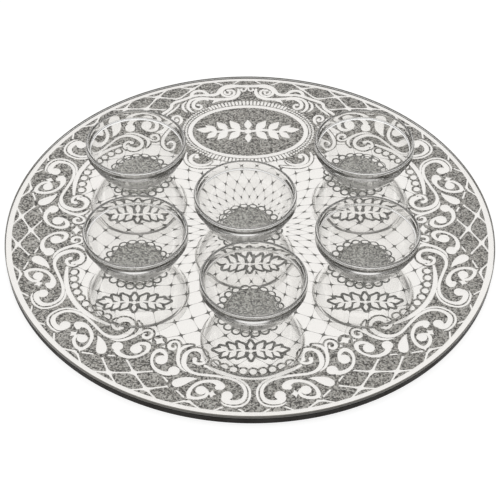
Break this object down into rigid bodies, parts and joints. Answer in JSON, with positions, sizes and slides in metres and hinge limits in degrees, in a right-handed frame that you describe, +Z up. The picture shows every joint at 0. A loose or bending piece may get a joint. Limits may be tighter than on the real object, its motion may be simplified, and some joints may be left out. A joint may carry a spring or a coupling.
{
  "type": "seder plate",
  "caption": "Round mirror-glass plate with a glittered scroll print, on a black board with bumper feet, carrying loose clear glass bowls for ritual foods.",
  "frame": {"origin": "on the table under the middle of the plate", "axes": "+Z up out of the bowls, -Y towards the front bowl, +X to the right seen from the front"},
  "size_m": [0.3999, 0.4, 0.0479],
  "materials": {
    "mirror_glass": "clear float glass, silvered behind, with a ground edge",
    "black_board": "fibreboard, stained black, satin lacquer",
    "foot_rubber": "matt",
    "bowl_glass": "clear pressed glass, fire polished"
  },
  "bodies": {
    "plate": {"glass_plate": "mirror_glass", "backing_board": "black_board", "foot_1": "foot_rubber", "foot_2": "foot_rubber", "foot_3": "foot_rubber", "foot_4": "foot_rubber"},
    "bowl_centre": {"bowl_centre": "bowl_glass"},
    "bowl_front": {"bowl_front": "bowl_glass"},
    "bowl_right": {"bowl_right": "bowl_glass"},
    "bowl_left": {"bowl_left": "bowl_glass"},
    "bowl_rear_right": {"bowl_rear_right": "bowl_glass"},
    "bowl_rear_left": {"bowl_rear_left": "bowl_glass"}
  },
  "joints": [
    {"name": "bowl_centre_lift", "type": "slide", "parent": "plate", "child": "bowl_centre", "axis": [0, 0, 1], "range_m": [0, 0.08]},
    {"name": "bowl_front_lift", "type": "slide", "parent": "plate", "child": "bowl_front", "axis": [0, 0, 1], "range_m": [0, 0.08]},
    {"name": "bowl_right_lift", "type": "slide", "parent": "plate", "child": "bowl_right", "axis": [0, 0, 1], "range_m": [0, 0.08]},
    {"name": "bowl_left_lift", "type": "slide", "parent": "plate", "child": "bowl_left", "axis": [0, 0, 1], "range_m": [0, 0.08]},
    {"name": "bowl_rear_right_lift", "type": "slide", "parent": "plate", "child": "bowl_rear_right", "axis": [0, 0, 1], "range_m": [0, 0.08]},
    {"name": "bowl_rear_left_lift", "type": "slide", "parent": "plate", "child": "bowl_rear_left", "axis": [0, 0, 1], "range_m": [0, 0.08]}
  ]
}
